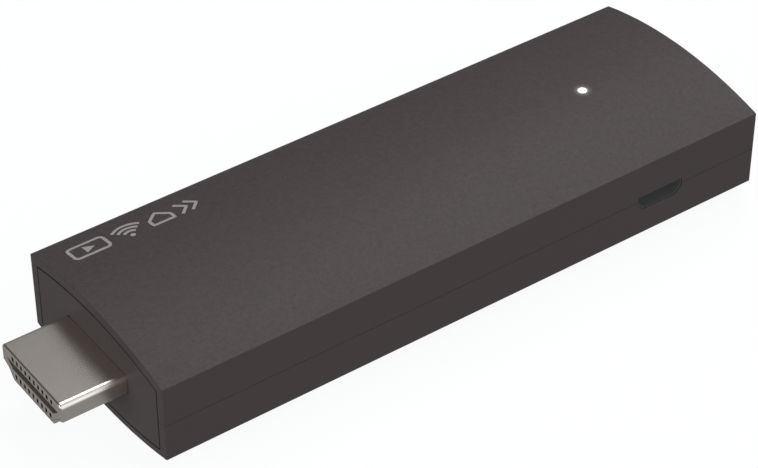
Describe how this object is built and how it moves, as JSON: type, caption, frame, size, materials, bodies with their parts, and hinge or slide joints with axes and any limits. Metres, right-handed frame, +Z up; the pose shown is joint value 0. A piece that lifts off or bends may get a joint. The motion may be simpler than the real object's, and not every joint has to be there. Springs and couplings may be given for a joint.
{
  "type": "streaming media player",
  "caption": "HDMI streaming stick: slim crowned case in two snap-fit covers, an end panel round the plug, a micro-USB power socket in one long side and an indicator in the top.",
  "frame": {"origin": "under the middle of the whole stick, plug included, at the height of the underside's lowest line", "axes": "+X along the stick from the plug's tip to the far end, -Y out of the long side with the micro-USB socket, +Z up through the crowned top with the indicator"},
  "size_m": [0.0992, 0.03, 0.0149],
  "materials": {
    "case_plastic": "fine spark-eroded texture",
    "end_cap_plastic": "satin",
    "plug_steel": "nickel plated, satin",
    "insulator_plastic": "satin",
    "contact_gold": "gold flash",
    "board_laminate": "solder mask",
    "chip_resin": "moulded epoxy",
    "small_ceramic": "fired",
    "shield_tin": "tin plated",
    "spreader_aluminium": "as extruded",
    "thermal_silicone": "soft",
    "light_pipe_clear": "polished, lit from below",
    "led_lens": "clear",
    "socket_steel": "nickel plated",
    "socket_plastic": "moulded",
    "crystal_can": "lidded",
    "coil_ferrite": "pressed ferrite",
    "screw_steel": "zinc plated",
    "antenna_tin": "tin plated"
  },
  "bodies": {
    "root": {"top_cover": "case_plastic", "bottom_cover": "case_plastic", "plug_end_cap": "end_cap_plastic", "light_pipe": "light_pipe_clear", "hdmi_shell": "plug_steel", "hdmi_insulator": "insulator_plastic", "hdmi_contacts_upper": "contact_gold", "hdmi_contacts_lower": "contact_gold", "main_board": "board_laminate", "usb_shell": "socket_steel", "usb_tongue": "socket_plastic", "usb_contacts": "contact_gold", "shield_fence": "shield_tin", "shield_lid": "shield_tin", "wireless_shield": "shield_tin", "heat_spreader": "spreader_aluminium", "processor_thermal_pad": "thermal_silicone", "spreader_thermal_pad": "thermal_silicone", "processor": "chip_resin", "flash_chip": "chip_resin", "power_chip": "chip_resin", "wireless_chip": "chip_resin", "main_crystal": "crystal_can", "wireless_crystal": "crystal_can", "bulk_capacitor": "small_ceramic", "status_led": "led_lens", "memory_chips": "chip_resin", "power_inductors": "coil_ferrite", "plug_line_filters": "chip_resin", "chip_resistors": "small_ceramic", "ceramic_capacitors": "small_ceramic", "antenna_near": "antenna_tin", "antenna_far": "antenna_tin", "board_screws": "screw_steel"}
  },
  "joints": []
}
